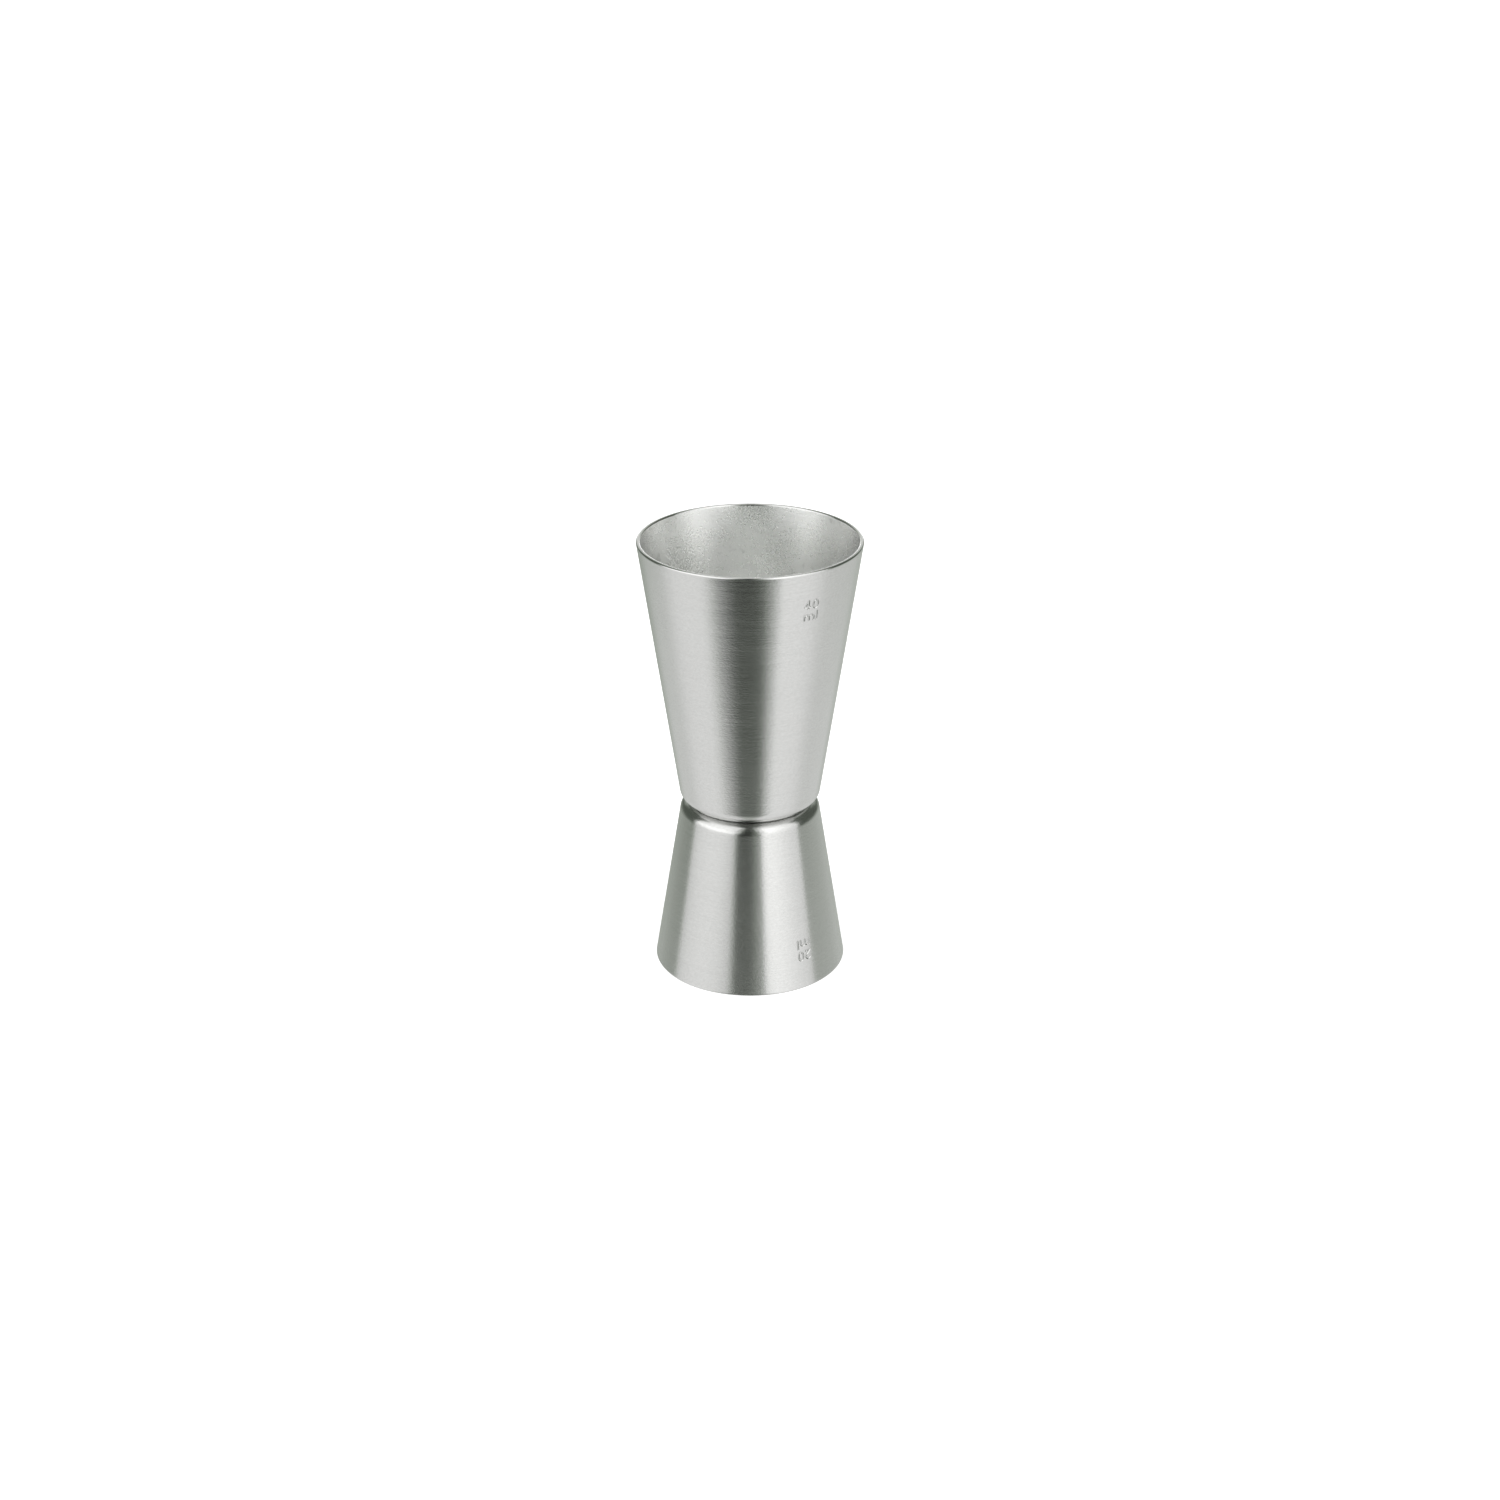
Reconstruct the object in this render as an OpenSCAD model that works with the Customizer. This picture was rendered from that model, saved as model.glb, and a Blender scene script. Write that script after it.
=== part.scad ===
// Bar jigger: two deep-drawn stainless steel measuring cups, spot-welded base to base.
// It stands on the small cup's rim. The origin is the centre of that rim's circle, and +Z is up.
// Each cup is drawn standing on its base with its rim up, and the small one is then turned over.

/* [Large cup] */
// Outside diameter across the large cup's rim
large_rim_d = 41.76; // [38:0.01:46]
// Outside diameter that the large cup's straight wall would reach in the plane of its base
large_base_d = 26.12; // [24:0.01:30]
// Height of the large cup, from base to rim
large_h = 52; // [44:0.1:60]
// Outside radius of the bend between the large cup's wall and base
large_bend_r = 2.7; // [1.2:0.1:3.5]

/* [Small cup] */
// Outside diameter across the small cup's rim
small_rim_d = 36.8; // [33:0.1:42]
// Outside diameter that the small cup's straight wall would reach in the plane of its base
small_base_d = 26.04; // [24:0.01:30]
// Height of the small cup, from base to rim
small_h = 33.3; // [28:0.1:42]
// Outside radius of the bend between the small cup's wall and base
small_bend_r = 2.3; // [1.2:0.1:3.5]

/* [Sheet] */
// Thickness of the steel sheet of both cups
sheet_t = 0.8; // [0.6:0.05:1]
// Radius that both edges of a rim are rounded to
rim_edge_r = 0.32; // [0.1:0.01:0.38]

/* [Spot welds] */
// Number of welds between the two bases
weld_count = 3; // [2:1:5]
// Radius of the circle that the welds lie on
weld_circle_r = 6; // [4:0.5:7]
// Diameter of a weld's nugget in the plane where the bases meet
nugget_d = 3.6; // [2.5:0.1:4]
// Depth that a nugget reaches into each sheet
nugget_depth = 0.4; // [0.2:0.05:0.4]
// Diameter of the dimple that the welding tip leaves inside a cup
dimple_d = 4.4; // [3:0.1:5]
// Depth of that dimple
dimple_depth = 0.1; // [0.05:0.01:0.15]

/* [Capacity marks] */
// Direction that the large cup's mark faces, in degrees from -Y towards +X
large_mark_turn = 33.5; // [0:0.5:360]
// Direction that the small cup's mark faces, in degrees from -Y towards +X
small_mark_turn = 37; // [0:0.5:360]
// Distance down the large cup's wall from its rim to the line that the number stands on
large_mark_drop = 7.4; // [4:0.1:14]
// Distance down the small cup's wall from its rim to the line that the number stands on
small_mark_drop = 7.5; // [4:0.1:14]
// Distance from the number's line to the unit's line under it
line_pitch = 2.35; // [2.1:0.05:4]
// Height of a figure
figure_h = 1.9; // [1.4:0.1:3]
// Width of an engraved stroke
pen_w = 0.28; // [0.2:0.02:0.36]
// Depth of an engraved stroke
mark_depth = 0.12; // [0.05:0.01:0.2]

/* [Hidden] */
$fn = 96;
steel = [0.78, 0.79, 0.77];
weld_steel = [0.6, 0.58, 0.55];

// Straight pieces in the arc of a bend, of a rim edge and of a pen stroke, and in a whole figure 0
bend_steps = 8;
edge_steps = 4;
pen_steps = 8;
oval_steps = 24;

// Letter shapes, as fractions of a figure's height
figure_w = 0.7 * figure_h;
letter_gap = 0.2 * figure_h;
x_height = 0.72 * figure_h;
arch_w = 0.53 * figure_h;
four_bar_y = 0.28 * figure_h;
four_stem_x = 0.1 * figure_h;
two_start_angle = 165;

// How far the engraving tool starts outside the wall
tool_clear = 0.4;

// Slope of a cup's wall from the upright, in degrees
function taper(rim_d, base_d, h) = atan((rim_d - base_d) / 2 / h);

// Radius of the sphere whose cap is d across and depth high
function cap_r(d, depth) = (pow(d / 2, 2) + pow(depth, 2)) / (2 * depth);

function unit(v) = v / norm(v);

function angle(v) = atan2(v[1], v[0]);

// Points of an arc of radius r about c, from angle a0 through sweep
function arc(c, r, a0, sweep, steps) =
    [for (i = [0:steps]) let (a = a0 + sweep * i / steps) c + r * [cos(a), sin(a)]];

// Points of an oval w wide and h high, about c
function oval(c, w, h) =
    [for (i = [1:oval_steps]) let (a = 360 * i / oval_steps) c + [w * cos(a), h * sin(a)] / 2];

// Points that round the corner p, between its neighbours p0 and p1, to radius r
function rounded(p0, p, p1, r, steps) =
    let (
        u = unit(p0 - p),
        v = unit(p1 - p),
        half = acos(u * v) / 2,
        c = p + unit(u + v) * r / sin(half),
        start = angle(p + u * r / tan(half) - c),
        end = angle(p + v * r / tan(half) - c)
    )
    arc(c, r, start, (end - start + 540) % 360 - 180, steps);

// Half section of a cup: out along the base, up the outer wall, over the rim and back down inside
function cup_section(rim_d, base_d, h, bend_r) =
    let (
        t = taper(rim_d, base_d, h),
        wall_w = sheet_t / cos(t),
        centre_out = [0, 0],
        corner_out = [base_d / 2, 0],
        rim_out = [rim_d / 2, h],
        rim_in = rim_out - [wall_w, 0],
        corner_in = corner_out + [sheet_t * tan(t) - wall_w, sheet_t],
        centre_in = [0, sheet_t]
    )
    concat(
        [centre_out],
        rounded(centre_out, corner_out, rim_out, bend_r, bend_steps),
        rounded(corner_out, rim_out, rim_in, rim_edge_r, edge_steps),
        rounded(rim_out, rim_in, corner_in, rim_edge_r, edge_steps),
        rounded(rim_in, corner_in, centre_in, bend_r - sheet_t, bend_steps),
        [centre_in]
    );

// A straight stroke of the pen from point a to point b, with square ends
module pen_bar(a, b) {
    translate(a)
        rotate(angle(b - a))
            translate([-pen_w / 2, -pen_w / 2])
                square([norm(b - a) + pen_w, pen_w]);
}

// A smooth stroke of the pen along a path of points
module pen_curve(path) {
    last = len(path) - 1;
    side = [
        for (i = [0:last])
            let (along = unit(path[min(i + 1, last)] - path[max(i - 1, 0)]))
            [-along[1], along[0]] * pen_w / 2
    ];
    polygon(concat(
        [for (i = [0:last]) path[i] + side[i]],
        [for (i = [last:-1:0]) path[i] - side[i]]
    ));
}

// The characters, each standing on y = 0 and centred on x = 0
module figure_0() {
    c = [0, figure_h / 2];
    difference() {
        polygon(oval(c, figure_w, figure_h));
        polygon(oval(c, figure_w - 2 * pen_w, figure_h - 2 * pen_w));
    }
}

// The bowl of the 2 runs smoothly into its neck, which is the tangent from the foot to the bowl
module figure_2() {
    r = (figure_w - pen_w) / 2;
    c = [0, figure_h - pen_w / 2 - r];
    foot = [-r, pen_w / 2];
    neck_angle = angle(foot - c) + acos(r / norm(foot - c));
    pen_curve(concat(arc(c, r, two_start_angle, neck_angle - two_start_angle, pen_steps), [foot]));
    pen_bar(foot, [r, pen_w / 2]);
}

module figure_4() {
    reach = (figure_w - pen_w) / 2;
    top = [four_stem_x, figure_h - pen_w / 2];
    pen_bar([four_stem_x, pen_w / 2], top);
    pen_bar([-reach, four_bar_y], [reach, four_bar_y]);
    pen_bar([-reach, four_bar_y], top);
}

module letter_m() {
    r = arch_w / 2;
    shoulder = x_height - pen_w / 2 - r;
    pen_bar([-arch_w, pen_w / 2], [-arch_w, x_height - pen_w / 2]);
    for (x = [-r, r])
        pen_curve(concat(arc([x, shoulder], r, 180, -180, pen_steps), [[x + r, 0]]));
}

module letter_l() {
    pen_bar([0, pen_w / 2], [0, figure_h - pen_w / 2]);
}

module character(c) {
    if (c == "0") figure_0();
    if (c == "2") figure_2();
    if (c == "4") figure_4();
    if (c == "m") letter_m();
    if (c == "l") letter_l();
}

function character_w(c) = c == "m" ? 2 * arch_w + pen_w : c == "l" ? pen_w : figure_w;

// Width of the first n characters of a line, with a gap after each
function run_w(line, n) = n == 0 ? 0 : run_w(line, n - 1) + character_w(line[n - 1]) + letter_gap;

// Cutting tool for a line of characters, which stands drop below the rim on the -Y side of the wall.
// Each character is flat and square to the wall at its own middle.
module engraved_line(line, rim_d, t, h, drop) {
    r = rim_d / 2 - drop * sin(t);
    z = h - drop * cos(t);
    width = run_w(line, len(line)) - letter_gap;
    for (i = [0:len(line) - 1]) {
        x = run_w(line, i) + character_w(line[i]) / 2 - width / 2;
        rotate([0, 0, x / r * 180 / PI])
            translate([0, -r, z])
                rotate([90 + t, 0, 0])
                    translate([0, 0, -mark_depth])
                        linear_extrude(mark_depth + tool_clear) character(line[i]);
    }
}

// Turns and moves its children to the place of weld i
module at_weld(i) {
    rotate([0, 0, i * 360 / weld_count]) translate([weld_circle_r, 0, 0]) children();
}

// A sphere's slice that is d across at z = 0 and reaches up to depth, as a cutting tool
module dish(d, depth) {
    intersection() {
        translate([0, 0, depth - cap_r(d, depth)]) sphere(cap_r(d, depth));
        cylinder(d = 2 * d, h = 2 * depth, center = true);
    }
}

// A cup standing on its base, with its welds' seats, their dimples and its capacity mark
module cup(rim_d, base_d, h, bend_r, number, mark_drop, mark_turn) {
    t = taper(rim_d, base_d, h);
    difference() {
        rotate_extrude() polygon(cup_section(rim_d, base_d, h, bend_r));
        for (i = [0:weld_count - 1]) at_weld(i) {
            dish(nugget_d, nugget_depth);
            translate([0, 0, sheet_t]) mirror([0, 0, 1]) dish(dimple_d, dimple_depth);
        }
        rotate([0, 0, mark_turn]) {
            engraved_line(number, rim_d, t, h, mark_drop);
            engraved_line("ml", rim_d, t, h, mark_drop + line_pitch);
        }
    }
}

module large_cup() {
    color(steel)
        translate([0, 0, small_h])
            cup(large_rim_d, large_base_d, large_h, large_bend_r, "40", large_mark_drop, large_mark_turn);
}

// Turning the cup over about X puts its mark on the other side of X, so it is engraved there first
module small_cup() {
    color(steel)
        translate([0, 0, small_h])
            rotate([180, 0, 0])
                cup(small_rim_d, small_base_d, small_h, small_bend_r, "20", small_mark_drop,
                    180 - small_mark_turn);
}

// A nugget of once-molten steel: a lens, half of it in each sheet
module weld_nugget(i) {
    r = cap_r(nugget_d, nugget_depth);
    color(weld_steel)
        translate([0, 0, small_h])
            at_weld(i)
                intersection() {
                    translate([0, 0, r - nugget_depth]) sphere(r);
                    translate([0, 0, nugget_depth - r]) sphere(r);
                }
}

large_cup();
small_cup();
for (i = [1:weld_count]) weld_nugget(i);
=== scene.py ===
# %% [markdown]
# # A bar jigger in brushed steel
# The jigger is two cups pressed from thin stainless sheet and spot-welded base to base.
# Its sizes were settled in a CAD model, so the script loads that model as a frame and works
# inside it. Each cup is then made again as a fine surface of revolution, because light on metal
# shows every facet of a coarse one.

import bpy
import numpy as np
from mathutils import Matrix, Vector


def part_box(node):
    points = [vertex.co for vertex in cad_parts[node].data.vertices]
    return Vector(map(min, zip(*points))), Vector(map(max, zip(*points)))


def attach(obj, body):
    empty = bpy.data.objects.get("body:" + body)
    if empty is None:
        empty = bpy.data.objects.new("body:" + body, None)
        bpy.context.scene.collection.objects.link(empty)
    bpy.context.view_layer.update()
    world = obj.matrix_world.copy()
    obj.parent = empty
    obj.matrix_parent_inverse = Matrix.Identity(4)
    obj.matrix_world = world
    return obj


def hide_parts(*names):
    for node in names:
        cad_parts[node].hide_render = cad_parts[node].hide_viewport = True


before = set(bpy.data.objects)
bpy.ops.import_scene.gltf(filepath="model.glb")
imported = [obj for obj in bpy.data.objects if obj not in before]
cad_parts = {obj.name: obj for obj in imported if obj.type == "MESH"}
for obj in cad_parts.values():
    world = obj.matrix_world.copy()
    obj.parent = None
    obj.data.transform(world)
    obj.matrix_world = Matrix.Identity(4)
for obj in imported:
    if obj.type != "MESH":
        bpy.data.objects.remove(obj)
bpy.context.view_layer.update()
print("CAD nodes:", sorted(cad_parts))

# %% [markdown]
# ## Sizes
# Heights are read from the frame's boxes. A box doesn't tell how thick the sheet is, how tight its
# bends are or where the engraving stands, so those are given here. The unit is the metre, and `mm`
# keeps the numbers readable.

# %% Sizes of the cups and their welds
mm = 0.001

sheet = 0.8 * mm
rim_edge = 0.32 * mm
weld_count = 3
weld_circle = 6 * mm
nugget_radius = 1.8 * mm
nugget_depth = 0.4 * mm
dimple_radius = 2.2 * mm
dimple_depth = 0.1 * mm

large_low, large_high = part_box("large_cup")
small_low, small_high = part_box("small_cup")
seam_z = small_high.z
large_h = large_high.z - seam_z
small_h = seam_z - small_low.z

CUPS = {
    "large": {"rim": 20.88 * mm, "base": 13.06 * mm, "height": large_h, "bend": 2.7 * mm,
              "number": "40", "turn": np.radians(33.5), "drop": 7.4 * mm},
    "small": {"rim": 18.4 * mm, "base": 13.02 * mm, "height": small_h, "bend": 2.3 * mm,
              "number": "20", "turn": np.radians(37), "drop": 7.5 * mm},
}
for name, cup in CUPS.items():
    cup["taper"] = np.arctan2(cup["rim"] - cup["base"], cup["height"])
    tilt = np.degrees(cup["taper"])
    print(f"{name} cup: {cup['height'] / mm:.1f} mm tall, its wall {tilt:.1f} degrees off upright")

# %% [markdown]
# ## The half section
# A pressed cup can be turned from one outline: out along the underside of the base, round the bend,
# up the wall, over the rim, and back down inside to the middle. Sheet metal has no sharp corner, so
# every corner of the outline is rounded by an arc that runs into its two sides without a kink.

# %% Helpers for an outline
def line(p, q, t):
    """The points p + t (q - p), one for every share t of the way from p to q."""
    return p + np.outer(t, q - p)


def corner_arc(before, corner, after, radius, steps):
    """The arc of this radius that touches both sides of a corner.

    The centre lies on the corner's bisector, radius / sin(half the corner's angle) away. The arc
    starts radius / tan(half) before the corner and turns through 180 degrees less the angle.
    """
    u = (before - corner) / np.linalg.norm(before - corner)
    v = (after - corner) / np.linalg.norm(after - corner)
    half = np.arccos(u @ v) / 2
    centre = corner + (u + v) / np.linalg.norm(u + v) * radius / np.sin(half)
    spoke = corner + u * radius / np.tan(half) - centre
    side = np.sign(u[1] * v[0] - u[0] * v[1])
    angle = side * np.linspace(0, np.pi - 2 * half, steps + 1)
    cos, sin = np.cos(angle), np.sin(angle)
    return centre + np.stack([spoke[0] * cos - spoke[1] * sin, spoke[0] * sin + spoke[1] * cos], axis=1)


def refined(values, low, high, step):
    """The values, with those between low and high replaced by finer ones, step apart."""
    kept = values[(values < low - step) | (values > high + step)]
    return np.sort(np.concatenate([kept, np.arange(low, high + step / 2, step)]))


eased = corner_arc(np.array([-1, 0]), np.array([0, 0]), np.array([0, 1]), radius=0.5, steps=2)
print("a square corner, eased by an arc:", eased.round(2).tolist())

# %% [markdown]
# ## Rows of the outline
# A straight wall needs few rows of points. The engraving will be pressed into it by moving points,
# though, so rows stand close together in the band where the mark is. Each point also carries a
# number for the finish that it belongs to: the turned outside, the polished rim or the blasted inside.

# %% The outline of a cup
OUTSIDE, RIM, INSIDE = 0, 1, 2

mark_rows = (4.7 * mm, 10.5 * mm)
mark_step = 0.05 * mm
next_to_an_arc = 0.12 * mm
outer_bend_steps = 14
inner_bend_steps = 12
edge_steps = 8
wall_rows = 29
floor_rows = 36
nearest_the_axis = 0.02


def half_section(cup):
    """The cup's outline, standing on its base: the points (radius, height), and each point's finish.

    The inner outline is the outer one moved in by the sheet's thickness, measured square to the
    metal, so its bend has the outer radius less the sheet. A wall gets an extra row close to each
    end, which keeps the arcs' shading off the straight metal.
    """
    tilt = cup["taper"]
    across = sheet / np.cos(tilt)
    centre_out, centre_in = np.array([0, 0]), np.array([0, sheet])
    corner_out = np.array([cup["base"], 0])
    rim_out = np.array([cup["rim"], cup["height"]])
    rim_in = rim_out - [across, 0]
    corner_in = corner_out + [sheet * np.tan(tilt) - across, sheet]

    bend_out = corner_arc(centre_out, corner_out, rim_out, cup["bend"], outer_bend_steps)
    edge_out = corner_arc(corner_out, rim_out, rim_in, rim_edge, edge_steps)
    edge_in = corner_arc(rim_out, rim_in, corner_in, rim_edge, edge_steps)
    bend_in = corner_arc(rim_in, corner_in, centre_in, cup["bend"] - sheet, inner_bend_steps)

    length = np.linalg.norm(edge_out[0] - bend_out[-1])
    plain = np.linspace(0, length, wall_rows)[1:-1]
    plain = np.concatenate([[next_to_an_arc], plain, [length - next_to_an_arc, length]])
    marked = refined(plain, length - mark_rows[1], length - mark_rows[0], mark_step)
    disc = np.linspace(nearest_the_axis, 1, floor_rows)

    parts = [
        (OUTSIDE, line(centre_out, bend_out[0], disc)),
        (OUTSIDE, bend_out[1:]),
        (OUTSIDE, line(bend_out[-1], edge_out[0], marked / length)),
        (RIM, edge_out[1:]),
        (RIM, line(edge_out[-1], edge_in[0], np.array([0.2, 0.5, 0.8, 1]))),
        (RIM, edge_in[1:]),
        (INSIDE, line(edge_in[-1], bend_in[0], plain / length)),
        (INSIDE, bend_in[1:]),
        (INSIDE, line(bend_in[-1], centre_in, 1 - disc[::-1])[1:]),
    ]
    points = np.concatenate([p for _, p in parts])
    finish = np.concatenate([np.full(len(p), f) for f, p in parts])
    return points, finish


for name, cup in CUPS.items():
    print(f"{name} cup: an outline of {len(half_section(cup)[0])} points")

# %% [markdown]
# ## The capacity marks
# Each cup says what it holds: a number with `ml` under it, engraved by a round-nosed cutter. A font
# would need a boolean cut and would bring its own style, so each character is drawn as the cutter
# draws it: a few pen strokes, and each stroke a path of points made of arcs and straight lines.

# %% Pen strokes of the characters
figure_h = 1.9 * mm
pen = 0.28 * mm
figure_w = 0.7 * figure_h
letter_gap = 0.2 * figure_h
x_height = 0.72 * figure_h
arch_w = 0.53 * figure_h
four_stem, four_bar = 0.1 * figure_h, 0.28 * figure_h
two_sets_down = 165
WIDTHS = {"0": figure_w, "2": figure_w, "4": figure_w, "m": 2 * arch_w + pen, "l": pen}


def arc(centre, radii, start, stop, steps):
    """Points on an oval arc: the centre plus (radius x cos angle, radius y sin angle)."""
    angle = np.radians(np.linspace(start, stop, steps + 1))
    return np.array(centre) + np.stack([radii[0] * np.cos(angle), radii[1] * np.sin(angle)], axis=1)


def strokes(character):
    """The pen's paths for a character that stands on y = 0 and is centred on x = 0.

    A 0 is an oval, and a 4 is one path over three straights. A 2 is a round bowl that ends where
    the straight to the foot touches it. An m is a stem with two half rounds, and an l is a stem.
    """
    low, top = pen / 2, figure_h - pen / 2
    reach = (figure_w - pen) / 2
    if character == "0":
        return [arc((0, figure_h / 2), (reach, top - figure_h / 2), 0, 360, 32)]
    if character == "2":
        middle, foot = np.array([0, top - reach]), np.array([-reach, low])
        fall = foot - middle
        neck = np.degrees(np.arctan2(fall[1], fall[0]) + np.arccos(reach / np.linalg.norm(fall)))
        bowl = arc(middle, (reach, reach), two_sets_down, neck, 14)
        return [np.vstack([bowl, foot, [reach, low]])]
    if character == "4":
        return [np.array([[four_stem, low], [four_stem, top], [-reach, four_bar], [reach, four_bar]])]
    if character == "m":
        bow = arch_w / 2
        shoulder = x_height - low - bow
        stem = np.array([[-arch_w, low], [-arch_w, x_height - low]])
        arches = [arc((x, shoulder), (bow, bow), 180, 0, 12) for x in (-bow, bow)]
        return [stem, *(np.vstack([arch, [arch[-1, 0], low]]) for arch in arches)]
    return [np.array([[0, low], [0, top]])]


print("strokes of each character:", {character: len(strokes(character)) for character in WIDTHS})

# %% [markdown]
# ## Writing as a distance
# How deep the metal is cut at some place depends only on how far that place is from the nearest
# stroke. With that one number, the groove can have any section: flat, round or with a raised lip.

# %% A line of writing, and the distance to it
line_pitch = 2.35 * mm


def written(text, baseline):
    """The strokes of a line of text, centred on x = 0 and standing on the height baseline."""
    widths = np.array([WIDTHS[c] for c in text])
    middles = np.cumsum(widths + letter_gap) - letter_gap - widths / 2
    middles -= (widths.sum() + letter_gap * (len(text) - 1)) / 2
    return [s + [x, baseline] for c, x in zip(text, middles) for s in strokes(c)]


def distance_to(paths, points):
    """How far each point is from the nearest stroke.

    For every segment of a path, the point's shadow on the segment is clipped to its ends, and the
    distance to that shadow is measured. The least of them all counts.
    """
    a = np.concatenate([p[:-1] for p in paths])
    b = np.concatenate([p[1:] for p in paths])
    ab, ap = b - a, points[:, None, :] - a
    share = np.clip((ap * ab).sum(-1) / (ab * ab).sum(-1), 0, 1)
    return np.linalg.norm(ap - share[..., None] * ab, axis=-1).min(axis=1)


inside_the_0 = distance_to(written("0", 0), np.array([[0, figure_h / 2]]))[0]
print(f"from the middle of a 0 to its stroke: {inside_the_0 / mm:.2f} mm")

# %% [markdown]
# ## Relief on the wall
# The cutter leaves a groove, and pushes up a lip beside it that is thinner than a hair and still
# catches the light. Both are heights over the smooth wall, worked out for every point of the grid.

# %% The engraved mark
mark_depth = 0.10 * mm
groove_side = 0.16 * mm
lip_height = 0.008 * mm
lip_width = 0.06 * mm
mark_reach = 2.2 * mm


def smooth(t):
    """The smooth step 3 t^2 - 2 t^3, with t held between 0 and 1."""
    t = np.clip(t, 0, 1)
    return t * t * (3 - 2 * t)


def engraving(cup, below_rim, arc_length):
    """Height of the relief of the mark, and how much of each point is cut.

    The wall is unrolled flat: x is the length round the cup from the mark's middle, and y is the
    height over the number's line. The groove is full depth along the stroke's middle and rises by
    a smooth step at the pen's edge, and the lip is a bell curve just outside it.
    """
    height = np.zeros(below_rim.shape)
    cut = np.zeros(below_rim.shape)
    near = (abs(arc_length) < mark_reach) & (below_rim > mark_rows[0]) & (below_rim < mark_rows[1])
    points = np.stack([arc_length[near], cup["drop"] - below_rim[near]], axis=1)
    away = distance_to(written(cup["number"], 0) + written("ml", -line_pitch), points)
    inside = smooth((pen / 2 - away) / groove_side + 0.5)
    lip = np.exp(-(((away - pen / 2 - lip_width) / lip_width) ** 2))
    height[near] = lip_height * lip - mark_depth * inside
    cut[near] = inside
    return height, cut


print(f"a stroke {pen / mm:.2f} mm wide is cut {mark_depth / mm:.2f} mm into {sheet / mm:.1f} mm sheet")

# %% [markdown]
# ## Relief on the floors
# The copper tips of the spot welder press a shallow dish into the floor of each cup. Between the
# two floors sits the weld itself, a lens of melted steel, and each floor has a dish for its half.

# %% Dishes of the welds
def cap(distance, radius, depth):
    """Depth of a spherical dish: sqrt(R^2 - d^2) - (R - depth), and nothing outside its radius."""
    sphere = (radius**2 + depth**2) / (2 * depth)
    return np.where(distance < radius, np.sqrt(np.maximum(sphere**2 - distance**2, 0)) - sphere + depth, 0)


def weld_distance(x, y):
    """How far a place on the base is from the nearest weld's centre."""
    angle = 2 * np.pi * np.arange(weld_count) / weld_count
    dx, dy = x[..., None] - weld_circle * np.cos(angle), y[..., None] - weld_circle * np.sin(angle)
    return np.hypot(dx, dy).min(axis=-1)


for place in (0, weld_circle):
    depth = cap(weld_distance(np.array([place]), np.zeros(1)), dimple_radius, dimple_depth)[0]
    print(f"dish {place / mm:.0f} mm from the axis: {depth / mm:.2f} mm deep")

# %% [markdown]
# ## From an outline to a mesh
# The outline is carried round the axis on a grid: one parameter runs along the outline and the
# other round the cup. A Screw modifier would turn an outline too, but it couldn't press an engraving
# into one side. With the whole grid in numpy, every point can still be moved before the mesh is made.

# %% Turning an outline into a mesh
columns = 180


def revolved(name, radius, height, angle, finish, cut):
    """A closed mesh on the grid (outline row, angle), with one point at each end of the outline.

    A grid point is (radius cos angle, radius sin angle, height). Each row is joined to the next
    by quads, and the first and last rows to a middle point by triangles. Every face keeps the
    finish of the higher-numbered row.
    """
    rows, cols = radius.shape
    grid = np.stack([radius * np.cos(angle), radius * np.sin(angle), height], axis=-1).reshape(-1, 3)
    ends = [[0, 0, height[0].mean()], [0, 0, height[-1].mean()]]
    j = np.arange(cols)
    k = np.roll(j, -1)
    row = cols * np.arange(rows - 1)[:, None]
    quads = np.stack([row + j, row + k, row + cols + k, row + cols + j], axis=-1).reshape(-1, 4)
    last = cols * (rows - 1)
    first_fan = np.stack([np.full(cols, rows * cols), k, j], axis=1)
    last_fan = np.stack([np.full(cols, rows * cols + 1), last + j, last + k], axis=1)
    mesh = bpy.data.meshes.new(name)
    mesh.from_pydata(np.vstack([grid, ends]), [], quads.tolist() + first_fan.tolist() + last_fan.tolist())
    marks = mesh.attributes.new("cut", "FLOAT", "POINT")
    marks.data.foreach_set("value", np.append(cut.ravel(), [0, 0]).astype(np.float32))
    slots = [np.repeat(finish[1:], cols), np.full(cols, finish[0]), np.full(cols, finish[-1])]
    mesh.polygons.foreach_set("material_index", np.concatenate(slots).astype(np.int32))
    mesh.polygons.foreach_set("use_smooth", np.ones(len(mesh.polygons), bool))
    mesh.update()
    return mesh


print(f"{columns} columns: one every {360 / columns:.0f} degrees, before the mark's finer ones")

# %% [markdown]
# ## The cups
# Each cup is first made standing on its base at the origin, with columns packed closely behind its
# mark. Relief moves a point square to its wall, which leans outwards, so a part of the move goes
# into the radius and a part into the height. On the flat floors it goes into the height alone.

# %% Make a cup
mark_half_width = 1.95 * mm


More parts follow.
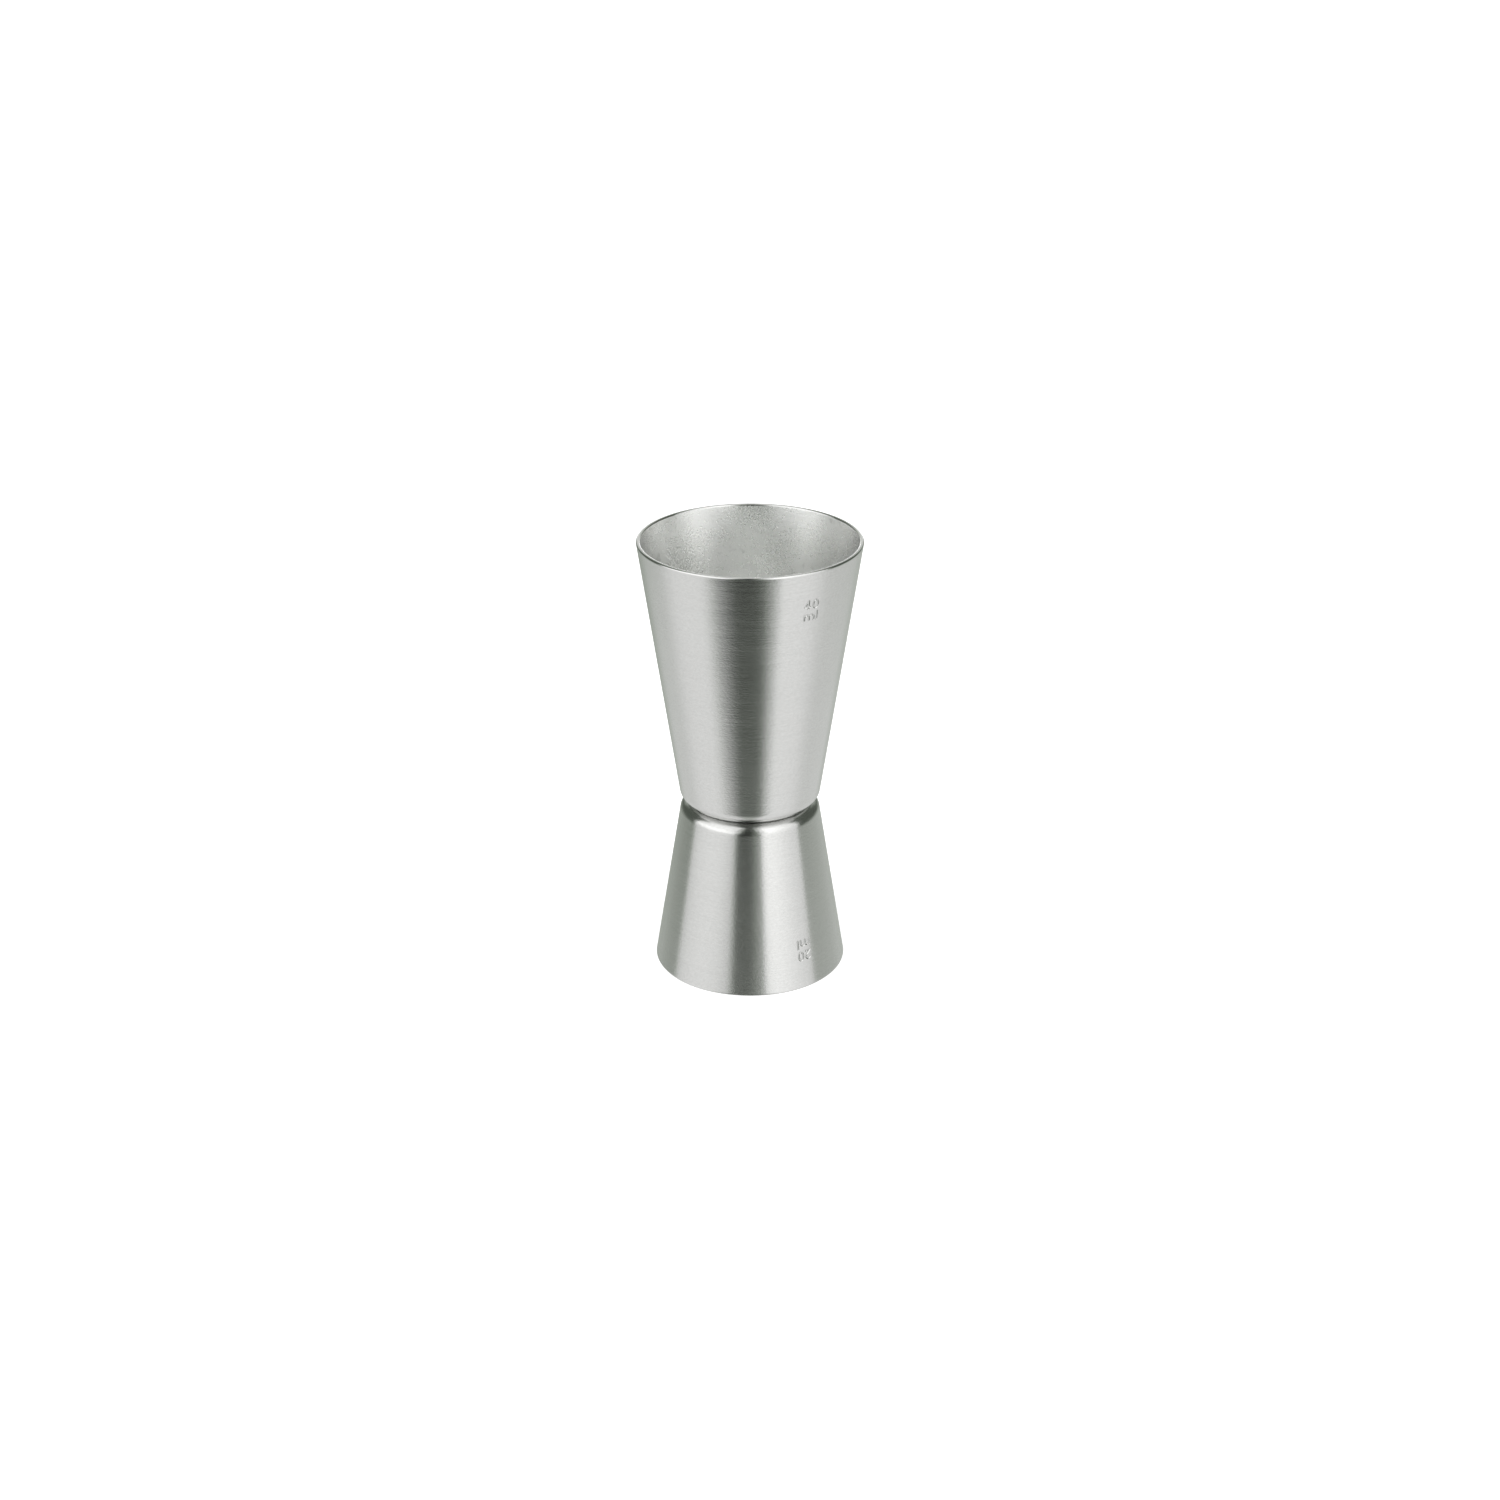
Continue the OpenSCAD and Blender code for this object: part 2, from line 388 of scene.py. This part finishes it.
def cup_mesh(name, cup, mark_angle):
    """A cup standing on its base at the origin, with the middle of its mark at mark_angle.

    Its grid is the outline times the angles. The wall's relief moves a point by (cos taper) outwards
    and (-sin taper) up, and the dishes lift the base and lower the floor.
    """
    points, finish = half_section(cup)
    edge = mark_half_width / cup["rim"]
    angle = refined(np.linspace(-np.pi, np.pi, columns, endpoint=False), -edge, edge, mark_step / cup["rim"])
    radius, angle_grid = np.meshgrid(points[:, 0], angle, indexing="ij")
    height = np.repeat(points[:, 1:], len(angle), axis=1)

    wall = (finish[:, None] == OUTSIDE) & (height > cup["bend"])
    below_rim = np.where(wall, (cup["height"] - height) / np.cos(cup["taper"]), 0)
    relief, cut = engraving(cup, below_rim, angle_grid * radius)
    radius = radius + relief * np.cos(cup["taper"])
    height = height - relief * np.sin(cup["taper"])

    angle_grid = angle_grid + mark_angle
    distance = weld_distance(radius * np.cos(angle_grid), radius * np.sin(angle_grid))
    flat_out = (finish[:, None] == OUTSIDE) & (points[:, 1:] == 0)
    flat_in = (finish[:, None] == INSIDE) & (points[:, 1:] == sheet)
    height = height + flat_out * cap(distance, nugget_radius, nugget_depth)
    height = height - flat_in * cap(distance, dimple_radius, dimple_depth)
    return revolved(name, radius, height, angle_grid, finish, cut)


front = -np.pi / 2
large_mesh = cup_mesh("large_cup_shell", CUPS["large"], front + CUPS["large"]["turn"])
small_mesh = cup_mesh("small_cup_shell", CUPS["small"], -front - CUPS["small"]["turn"])
for mesh in (large_mesh, small_mesh):
    print(mesh.name, "has", len(mesh.polygons), "faces")

# %% [markdown]
# ## Base to base
# The large cup goes up to the seam as it is, and the small one is turned over first. Objects could
# be turned and moved, but the steel's pattern is fixed to each object's own coordinates, and would
# turn along. So the objects stay at the origin, unturned, and their points are moved.

# %% Place the cups
def placed(mesh, turn_over):
    """The mesh moved to the seam. The small cup is first turned over about X, by y -> -y, z -> -z."""
    co = np.empty(len(mesh.vertices) * 3, np.float32)
    mesh.vertices.foreach_get("co", co)
    co = co.reshape(-1, 3) * (np.array([1, -1, -1]) if turn_over else 1) + [0, 0, seam_z]
    mesh.vertices.foreach_set("co", co.astype(np.float32).ravel())
    mesh.update()
    made = bpy.data.objects.new(mesh.name, mesh)
    bpy.context.scene.collection.objects.link(made)
    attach(made, "root")
    return made


large = placed(large_mesh, False)
small = placed(small_mesh, True)
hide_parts("large_cup")
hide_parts("small_cup")
for made in (large, small):
    tall, wide = made.dimensions.z / mm, made.dimensions.x / mm
    print(f"{made.name} is {tall:.1f} mm tall and {wide:.1f} mm wide")

# %% [markdown]
# ## The weld nuggets
# The cups are held together by three spots of steel that melted and froze again between the two
# floors. Nobody sees them until the jigger is sawn in half, but they are real bodies of metal. Each
# is a lens, and the distance from its middle is kept with the mesh, because heat colours a weld in
# rings: straw, then brown, then blue.

# %% Make the nuggets
nugget_rings = 24
nugget_columns = 64


def nugget_mesh(name, centre):
    """A lens round its centre.

    For a share of its radius and an angle, its two faces lie at plus and minus the cap's depth.
    """
    share = np.linspace(1 / nugget_rings, 1, nugget_rings)
    share = np.concatenate([share, share[-2::-1]])
    side = np.where(np.arange(len(share)) < nugget_rings, -1, 1)
    angle = np.linspace(0, 2 * np.pi, nugget_columns, endpoint=False)
    radius = np.repeat(share[:, None] * nugget_radius, nugget_columns, axis=1)
    depth = side[:, None] * cap(radius, nugget_radius, nugget_depth)
    depth[nugget_rings - 1] = 0
    mesh = revolved(name, radius, depth, angle, np.zeros(len(share), int), radius / nugget_radius)
    co = np.empty(len(mesh.vertices) * 3)
    mesh.vertices.foreach_get("co", co)
    co = co.reshape(-1, 3)
    co[-2:, 2] = [-nugget_depth, nugget_depth]
    mesh.vertices.foreach_set("co", (co + centre).ravel())
    mesh.update()
    return mesh


nuggets = []
for i in range(weld_count):
    bearing = 2 * np.pi * i / weld_count
    centre = np.array([weld_circle * np.cos(bearing), weld_circle * np.sin(bearing), seam_z])
    mesh = nugget_mesh(f"weld_{i + 1}_metal", centre)
    made = bpy.data.objects.new(mesh.name, mesh)
    bpy.context.scene.collection.objects.link(made)
    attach(made, "root")
    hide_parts(f"weld_nugget_{i + 1}")
    nuggets.append(made)
print("nuggets:", [made.name for made in nuggets])

# %% [markdown]
# ## Writing shaders as formulas
# A shader is a graph of nodes, but most of it is arithmetic, and arithmetic reads best as a
# formula. `Wire` stands for one socket and answers to + - * / by adding a Math node. `Graph.wire`
# makes any other node from its type, its settings and the values of its sockets.

# %% Wire
class Wire:
    """One socket of a node graph, usable in a formula."""

    def __init__(self, graph, socket):
        self.graph, self.socket = graph, socket

    def math(self, operation, *others):
        return self.graph.wire("ShaderNodeMath", {"operation": operation}, dict(enumerate((self, *others))))

    def __add__(self, other):
        return self.math("ADD", other)

    def __sub__(self, other):
        return self.math("SUBTRACT", other)

    def __rsub__(self, other):
        return self.graph.wire("ShaderNodeMath", {"operation": "SUBTRACT"}, {0: other, 1: self})

    def __mul__(self, other):
        return self.math("MULTIPLY", other)

    def __truediv__(self, other):
        return self.math("DIVIDE", other)

    def __neg__(self):
        return self.math("MULTIPLY", -1)

    __radd__ = __add__
    __rmul__ = __mul__


print("a Wire answers to:", ", ".join(name for name in vars(Wire) if callable(getattr(Wire, name))))

# %% Graph
class Graph:
    """The node graph of a material or of the world."""

    def __init__(self, tree):
        self.tree = tree
        tree.nodes.clear()

    def node(self, kind, settings=None, sockets=None):
        """A node of this type. Settings are set first, then each socket gets its value or its link."""
        made = self.tree.nodes.new(kind)
        for name, value in (settings or {}).items():
            if name == "stops":
                for stop in range(2, len(value)):
                    made.color_ramp.elements.new(stop / len(value))
                for element, (place, colour) in zip(made.color_ramp.elements, value):
                    element.position, element.color = place, (*colour, 1)
            else:
                setattr(made, name, value)
        for name, value in (sockets or {}).items():
            if isinstance(value, Wire):
                self.tree.links.new(value.socket, made.inputs[name])
            else:
                made.inputs[name].default_value = value
        return made

    def wire(self, kind, settings=None, sockets=None, output=0):
        """The named or numbered output of a new node."""
        return Wire(self, self.node(kind, settings, sockets).outputs[output])

    def scaled(self, vector, factors):
        """A vector with each of its parts multiplied by its own factor."""
        return self.wire("ShaderNodeVectorMath", {"operation": "MULTIPLY"}, {0: vector, 1: factors})

    def noise(self, vector, detail=3, roughness=0.55):
        """Soft random values about 0, mostly between -0.5 and 0.5, one lump to a unit of the vector."""
        sockets = {"Vector": vector, "Scale": 1, "Detail": detail, "Roughness": roughness}
        return self.wire("ShaderNodeTexNoise", None, sockets) - 0.5

    def step(self, value, start, end):
        """0 below start, 1 above end, and a smooth rise between."""
        sockets = {"Value": value, "From Min": start, "From Max": end}
        return self.wire("ShaderNodeMapRange", {"interpolation_type": "SMOOTHSTEP"}, sockets)

    def blend(self, share, a, b):
        """The colour a, turning into the colour b as share goes from 0 to 1."""
        return self.wire("ShaderNodeMix", {"data_type": "RGBA"}, {0: share, 6: a, 7: b}, 2)


print("a Graph can make:", ", ".join(name for name in vars(Graph) if not name.startswith("_")))

# %% [markdown]
# ## What all metals share
# Every finish of the jigger is the same kind of shader, with Metallic at 1. A finish is then only
# three things that change over the surface: a colour, a roughness, and a relief too fine for the
# mesh. All patterns are read in the object's own coordinates, so they are fixed to the metal.

# %% A metal shader
def material(name):
    """A new material, its graph, and the places of its points on the object."""
    made = bpy.data.materials.new(name)
    made.use_nodes = True
    graph = Graph(made.node_tree)
    return made, graph, graph.wire("ShaderNodeTexCoord", output="Object")


def metal(graph, colour, rough, height, depth, **constants):
    """Ends a graph in a metal shader. Height, times depth, is the relief that bends its light."""
    bump = graph.wire("ShaderNodeBump", None, {"Height": height, "Distance": depth, "Strength": 1.0})
    sockets = {"Base Color": colour, "Roughness": rough, "Normal": bump, "Metallic": 1.0}
    sockets.update({name.replace("_", " "): value for name, value in constants.items()})
    shader = graph.wire("ShaderNodeBsdfPrincipled", None, sockets)
    graph.node("ShaderNodeOutputMaterial", None, {"Surface": shader})


print("materials that came with the frame:", len(bpy.data.materials))

# %% [markdown]
# ## Turned steel, for the outside
# The outside was finished on a lathe with fine abrasive, so it is covered in tiny grooves that run
# round the cup. Grooves scatter light across themselves and hardly along themselves: a lamp's
# reflection is smeared up and down, but keeps its edges from side to side. That is anisotropy, and
# a quarter turn of it lays the smear along the cup's axis. Noise that is squeezed flat draws the
# grooves that are coarse enough to see.

# %% The turned steel
steel_light = (0.670, 0.672, 0.660, 1)
steel_dark = (0.593, 0.595, 0.583, 1)
# A dark grey: painted shade in the engraved grooves, and the real stains inside the cup.
stain_and_shade_grey = (0.20, 0.205, 0.19, 1)

# Lumps of noise to the metre along X, Y and Z.
broad_grooves = (30, 30, 700)
fine_grooves = (60, 60, 3200)
turned_grain = (1800, 1800, 3600)
worn_patches = (120, 120, 160)

turned_tones = (-0.55, 0.45)
turned_roughness = 0.22
turned_depth = 0.008 * mm
# How far the engraved grooves are darkened towards the grey, as painted shade.
groove_painted_shade = 0.12
smear = 0.75
smear_turn = 0.25


def turned_steel():
    """Colour, roughness and relief are weighted sums of four noises.

    Where the metal is cut by the engraving, it is also a little rougher, and its colour is darker:
    painted shade in the groove.
    """
    made, graph, place = material("turned_steel")
    broad = graph.noise(graph.scaled(place, broad_grooves))
    fine = graph.noise(graph.scaled(place, fine_grooves), 4, 0.7)
    grain = graph.noise(graph.scaled(place, turned_grain), 2)
    patches = graph.noise(graph.scaled(place, worn_patches), 2)
    cut = graph.wire("ShaderNodeAttribute", {"attribute_name": "cut"}, None, "Fac")
    tone = graph.step(0.2 * broad + 0.6 * fine + grain, *turned_tones)
    colour = graph.blend(tone, steel_dark, steel_light)
    # Painted shade: the colour is darkened where the engraving cuts the metal.
    colour = graph.blend(cut * groove_painted_shade, colour, stain_and_shade_grey)
    rough = turned_roughness + 0.14 * fine + 0.02 * broad + 0.05 * patches + 0.10 * cut
    relief = fine + 0.2 * broad + 1.5 * grain
    metal(graph, colour, rough, relief, turned_depth, Anisotropic=smear, Anisotropic_Rotation=smear_turn)
    return made


outside = turned_steel()
print(outside.name, "has", len(outside.node_tree.nodes), "nodes")

# %% [markdown]
# ## Blasted steel, for the inside
# The inside was blasted with fine beads, which leaves a soft matt grain with no direction, a little
# blotchy where the beads hit harder. Light meets these walls several times before it leaves the cup,
# and the metal keeps a share each time. The colour is painted light: it is set much lighter than the
# steel really is, so that less is kept and the inside of the cup reads brighter. Three noises of
# different sizes are enough for it: single marks, clusters of marks, and whole passes.

# %% The blasted steel
# Both tones are painted light: much lighter than the steel is, so that the inside of the cup reads brighter.
brightened_blasted_light = (0.933, 0.936, 0.925, 1)
brightened_blasted_dark = (0.900, 0.903, 0.890, 1)

# Lumps of noise to the metre along X, Y and Z.
bead_marks = (3000, 3000, 3000)
bead_clusters = (900, 900, 900)
blast_passes = (110, 110, 160)

blasted_tones = (-0.35, 0.35)
blasted_roughness = 0.28
blasted_depth = 0.035 * mm
stain_tones = (0.14, 0.26)
stain_strength = 0.25


def blasted_steel():
    """Bead marks make the grain, and faint stains show where the slow noise is above 0.2 or so."""
    made, graph, place = material("blasted_steel")
    grain = graph.noise(graph.scaled(place, bead_marks), 2, 0.6)
    mottle = graph.noise(graph.scaled(place, bead_clusters), 3, 0.6)
    blotch = graph.noise(graph.scaled(place, blast_passes), 2)
    stain = graph.step(blotch + 0.4 * mottle, *stain_tones)
    colour = graph.blend(graph.step(grain + 0.5 * mottle, *blasted_tones), brightened_blasted_dark, brightened_blasted_light)
    colour = graph.blend(stain * stain_strength, colour, stain_and_shade_grey)
    rough = blasted_roughness + 0.08 * grain + 0.04 * mottle + 0.08 * blotch
    metal(graph, colour, rough, grain + 0.3 * mottle, blasted_depth)
    return made


inside = blasted_steel()
print(inside.name, "has", len(inside.node_tree.nodes), "nodes")

# %% [markdown]
# ## Polished rim
# The rim was ground flat, its edges were eased and then polished, so that nobody cuts a finger or a
# lip on it. It is the one shiny line on the jigger. Its own marks are too fine to be seen one by one,
# so a single noise makes the shine a little uneven and nothing more.

# %% The polished rim
polishing_marks = (250, 250, 250)
polished_roughness = 0.16
polished_depth = 0.002 * mm


def polished_rim():
    """The outside's steel, smoother, with one noise for the roughness and the relief."""
    made, graph, place = material("polished_rim")
    lines = graph.noise(graph.scaled(place, polishing_marks), 4, 0.7)
    metal(graph, steel_light, polished_roughness + 0.10 * lines, lines, polished_depth)
    return made


rim = polished_rim()
print(rim.name, "has", len(rim.node_tree.nodes), "nodes")

# %% [markdown]
# ## Weld metal
# Each ring of heat colour is a film of oxide of another thickness. Rings like these could be painted,
# but they follow the distance from the middle, so a colour ramp is read at the share of the radius
# that was kept with the mesh: grey in the middle, then straw and brown, and blue at the edge.

# %% The weld metal
HEAT_COLOURS = [
    (0.0, (0.42, 0.41, 0.39)),
    (0.55, (0.50, 0.44, 0.34)),
    (0.75, (0.38, 0.25, 0.16)),
    (0.95, (0.20, 0.24, 0.34)),
]
frozen_ripples = (2500, 2500, 2500)
weld_roughness = 0.42
weld_depth = 0.02 * mm


def weld_metal():
    """The colour ramp is read at the share of the radius, made a little uneven by the ripples."""
    made, graph, place = material("weld_metal")
    share = graph.wire("ShaderNodeAttribute", {"attribute_name": "cut"}, None, "Fac")
    ripple = graph.noise(graph.scaled(place, frozen_ripples), 3)
    colour = graph.wire("ShaderNodeValToRGB", {"stops": HEAT_COLOURS}, {"Fac": share + 0.15 * ripple})
    metal(graph, colour, weld_roughness + 0.2 * ripple, ripple, weld_depth)
    return made


heat_tinted = weld_metal()
print(heat_tinted.name, "has", len(heat_tinted.node_tree.nodes), "nodes")

# %% [markdown]
# ## Finishes onto the metal
# A cup takes its three materials in the order of the numbers that the outline's points carried, so
# that each face finds its own finish.

# %% Hand out the materials
for made in (large, small):
    for finish in (outside, rim, inside):
        made.data.materials.append(finish)
for made in nuggets:
    made.data.materials.append(heat_tinted)
for made in (large, small, *nuggets):
    print(made.name, "wears", [finish.name for finish in made.data.materials])

# %% [markdown]
# ## The floor
# The jigger stands on a white ground. It glows a little, which keeps it plain white in the picture,
# and it is hidden from reflections, because the tent below draws its own table on the steel.

# %% The floor
floor_reach = 3.0
floor_white = (0.9, 0.9, 0.9, 1)
floor_roughness = 0.8
floor_glow = 0.6


def stage_floor():
    """One square, from minus to plus the reach along X and Y, at height 0."""
    mesh = bpy.data.meshes.new("stage_floor")
    corners = [(x * floor_reach, y * floor_reach, 0) for x, y in ((-1, -1), (1, -1), (1, 1), (-1, 1))]
    mesh.from_pydata(corners, [], [(0, 1, 2, 3)])
    made = bpy.data.objects.new("stage_floor", mesh)
    bpy.context.scene.collection.objects.link(made)
    white = bpy.data.materials.new("floor_white")
    white.use_nodes = True
    graph = Graph(white.node_tree)
    sockets = {"Base Color": floor_white, "Roughness": floor_roughness}
    sockets.update({"Emission Color": (1, 1, 1, 1), "Emission Strength": floor_glow})
    shader = graph.wire("ShaderNodeBsdfPrincipled", None, sockets)
    graph.node("ShaderNodeOutputMaterial", None, {"Surface": shader})
    mesh.materials.append(white)
    made.visible_glossy = False
    return made


print("the floor is", tuple(stage_floor().dimensions), "metres")

# %% [markdown]
# ## A tent of white cloth
# Metal shows what is round it, so shiny things are photographed in a tent of white cloth, and the
# tent is what gets drawn on them. Sheets of cloth and lamps could be modelled, but here the tent is
# the world's own light: a brightness for every direction. Two angles tell the directions apart, as
# on a globe. `turn` is 0 at the front, where the camera stands, and grows to the right, up to 180
# degrees at the back. `rise` is the height over the horizon in degrees, and `down` is its opposite.

# %% Directions in the tent
world = bpy.data.worlds.new("tent")
world.use_nodes = True
sky = Graph(world.node_tree)
way = sky.wire("ShaderNodeTexCoord", output="Generated")
split = sky.node("ShaderNodeSeparateXYZ", None, {0: way})
x, y, z = (Wire(sky, split.outputs[i]) for i in range(3))
turn = x.math("ARCTAN2", -y) * np.degrees(1)
rise = z.math("ARCSINE") * np.degrees(1)
down = -rise
print("nodes that measure a direction:", len(sky.tree.nodes))

# %% [markdown]
# ## Zones of the tent
# The tent is put together from zones. A zone is a number for every direction, 0 outside and 1 well
# inside, with a smooth slope between, because cloth has no sharp edge of light. A brightness then
# moves from one value to another by a zone's share.

# %% Zones
def between(a, b, share):
    """The value a, moving to b as the share goes from 0 to 1: a + (b - a) share."""
    return a + (b - a) * share


def band(value, start, full, fading, end):
    """0 up to start, 1 from full to fading, 0 again from end on, and smooth slopes between."""
    return sky.step(value, start, full) * (1 - sky.step(value, fading, end))


# Each zone starts at the first angle and is complete at the second, in degrees.
around = turn.math("ABSOLUTE")
on_the_table = sky.step(down, 14, 34)
under_the_foot = sky.step(down, 34, 46)
aloft = sky.step(rise, 5, 30)
climb = sky.step(rise, -10, 45)
on_the_right = sky.step(turn, -5, 5)
at_the_back = sky.step(around, 140, 156)
far_back = sky.step(around, 156, 172)
print("nodes with the zones:", len(sky.tree.nodes))

# %% [markdown]
# ## The gap at the front
# The camera looks in through an opening, and the dark room behind it shows on the steel as a band
# down the middle. Without that band the metal would look like grey paint. Its edges are not upright
# lines: they spread towards the table and are softer there.

# %% The gap
# Four values each: at eye level, on the table, under the foot, and aloft.
LEFT_EDGE = (-22, -46, -24, -18)
LEFT_SOFTNESS = (5, 13, 13, 12)
RIGHT_EDGE = (18, 34, 22, 20)
RIGHT_SOFTNESS = (3, 4, 4, 12)


def shifting(at_eye_level, at_table, at_foot, at_top):
    """A value that moves with the height: the four given ones, joined by the zones' slopes."""
    lower = (at_table - at_eye_level) * on_the_table + (at_foot - at_table) * under_the_foot
    return at_eye_level + lower + (at_top - at_eye_level) * aloft


def right_of(edge, softness):
    """0 to the left of an edge and 1 to its right, a smooth step as wide as twice the softness."""
    return sky.step((turn - edge) / softness, -1, 1)


left_flap = right_of(shifting(*LEFT_EDGE), shifting(*LEFT_SOFTNESS))
right_flap = right_of(shifting(*RIGHT_EDGE), shifting(*RIGHT_SOFTNESS))
gap = left_flap * (1 - right_flap)
print("the gap at eye level is", RIGHT_EDGE[0] - LEFT_EDGE[0], "degrees wide")

# %% [markdown]
# ## Light inside the gap
# The gap isn't black all over. Some light spills in from the right, the table's edge makes a pale
# line across it, and close to the foot the white ground shines into it again, in two steps.

# %% Light in the gap
room_light, edge_light, ground_light = 0.02, 0.55, 0.3
table_edge_down = (10, 13, 17, 21)
ground_down, near_ground_down = (41, 47), (50, 56)

spill = between(0.36, 0.30, on_the_table)
spill_start = between(-3, 6, on_the_table)
spill_full = between(20, 36, on_the_table)
gap_light = room_light + spill * sky.step(turn, spill_start, spill_full)
gap_light = gap_light + edge_light * band(down, *table_edge_down)
gap_light = gap_light + ground_light * (sky.step(down, *ground_down) + sky.step(down, *near_ground_down))
print("nodes with the gap:", len(sky.tree.nodes))

# %% [markdown]
# ## The cloth
# The right wall is the brighter one, as if the stronger lamp stood behind it. The left wall has a
# hot spot that fades to both sides. Both walls are brighter higher up, and the strip just over eye
# level is what the inside of the large cup gets most of its light from.

# %% The two walls
left_peak, left_peak_turn, left_fall = 1.03, -60, 0.00015
right_peak, right_loss, right_loss_turn = 1.36, 0.40, (28, 80)
strip_rise = (1, 9, 20, 32)

# Pairs are for the left and for the right half of the tent.
climb_gain = (0.42, 0.37)
strip_gain = (0.44, -0.04)

left_wall = left_peak - left_fall * (turn - left_peak_turn) * (turn - left_peak_turn)
right_wall = right_peak - right_loss * sky.step(turn, *right_loss_turn)
cloth = between(left_wall, right_wall, on_the_right) * (1 + between(*climb_gain, on_the_right) * climb)
cloth = cloth * (1 + band(rise, *strip_rise) * between(*strip_gain, on_the_right))
print("nodes with the walls:", len(sky.tree.nodes))

# %% [markdown]
# ## Sides and back
# Beyond the two walls the tent is dim. That darkens the limbs of the jigger, so that its outline
# stands off from the white ground. At the back there is a weak wall with one narrow bright strip,
# which lights the far side of the large cup's inside, close under the rim.

# %% The sides and the back
side_shade = 0.12
side_glow, side_glow_down = (0.22, 0.40), (0, 14)
back_low, back_high, back_change_rise = 0.6, 0.2, (26, 38)
back_foot_rise = (0, 15)
far_strip_light, far_strip_rise = 1.9, (-2, 4, 10, 20)

side_softness = between(4, 20, on_the_table)
left_side = 1 - right_of(-98, side_softness)
right_side = right_of(between(81, 90, climb), side_softness)
sides = 1 - (1 - left_side) * (1 - right_side)
side_light = side_shade + between(*side_glow, on_the_right) * sky.step(down, *side_glow_down)
back_light = between(back_low, back_high, sky.step(rise, *back_change_rise))
cloth = between(cloth, side_light, sides)
cloth = between(cloth, back_light, at_the_back * sky.step(rise, *back_foot_rise))
cloth = between(cloth, far_strip_light, far_back * band(rise, *far_strip_rise))
print("nodes with the sides:", len(sky.tree.nodes))

# %% [markdown]
# ## Table, roof and tint
# Below the cloth comes the lit table, above it the roof, and the gap is laid over all of them except
# the very top. Dim cloth is also a little greener than bright cloth. The camera doesn't see any
# of this: its own rays get plain white, and only the steel sees the tent.

# %% Put the tent together
# Pairs are for the left and for the right half of the tent.
table_glow, table_side_loss, table_back_loss = (1.0, 1.04), (0.14, 0.18), 0.2
roof_low, roof_top, roof_change_rise = 1.2, 0.7, (72, 84)
roof_rise, gap_top_rise = (50, 66), (78, 86)
dim_tint, bright_tint = (0.88, 1.0, 0.84, 1), (1.0, 1.0, 1.0, 1)

side_loss = between(*table_side_loss, on_the_right) * sides
table_light = between(*table_glow, on_the_right) - side_loss - table_back_loss * at_the_back
roof_light = between(roof_low, roof_top, sky.step(rise, *roof_change_rise))
level = between(cloth, table_light, on_the_table)
level = between(level, roof_light, sky.step(rise, *roof_rise))
level = between(level, gap_light, gap * (1 - sky.step(rise, *gap_top_rise)))
tint = sky.blend(sky.step(level, 0, 1), dim_tint, bright_tint)

light = sky.wire("ShaderNodeBackground", None, {"Color": tint, "Strength": level})
plain = sky.wire("ShaderNodeBackground", None, {"Color": (1, 1, 1, 1), "Strength": 1.0})
seen = sky.wire("ShaderNodeLightPath", output="Is Camera Ray")
surface = sky.wire("ShaderNodeMixShader", None, {0: seen, 1: light, 2: plain})
sky.node("ShaderNodeOutputWorld", None, {"Surface": surface})
bpy.context.scene.world = world
print("nodes in the whole tent:", len(sky.tree.nodes))

# %% [markdown]
# ## The camera
# The camera looks down on the jigger by about 24 degrees, far enough to show the inside of the large
# cup and still most of both walls. It stands a little under half a metre away, so the rim, which is
# nearer to it, looks a little larger than it would from afar.

# %% The camera
camera_drop = np.radians(24.23)
camera_distance = 460.6 * mm
aim = Vector((0, 0, 43.1 * mm))
sensor_width, focal_length = 36, 58.3

camera = bpy.data.objects.new("camera", bpy.data.cameras.new("camera"))
bpy.context.scene.collection.objects.link(camera)
looking = Vector((0, np.cos(camera_drop), -np.sin(camera_drop)))
camera.location = aim - looking * camera_distance
camera.rotation_euler = looking.to_track_quat("-Z", "Y").to_euler()
camera.data.sensor_width = sensor_width
camera.data.lens = focal_length
camera.data.clip_start = 10 * mm
bpy.context.scene.camera = camera
bpy.context.scene.view_settings.view_transform = "Standard"
print("camera at", [round(v / mm) for v in camera.location], "mm")

# %% [markdown]
# ## Finish
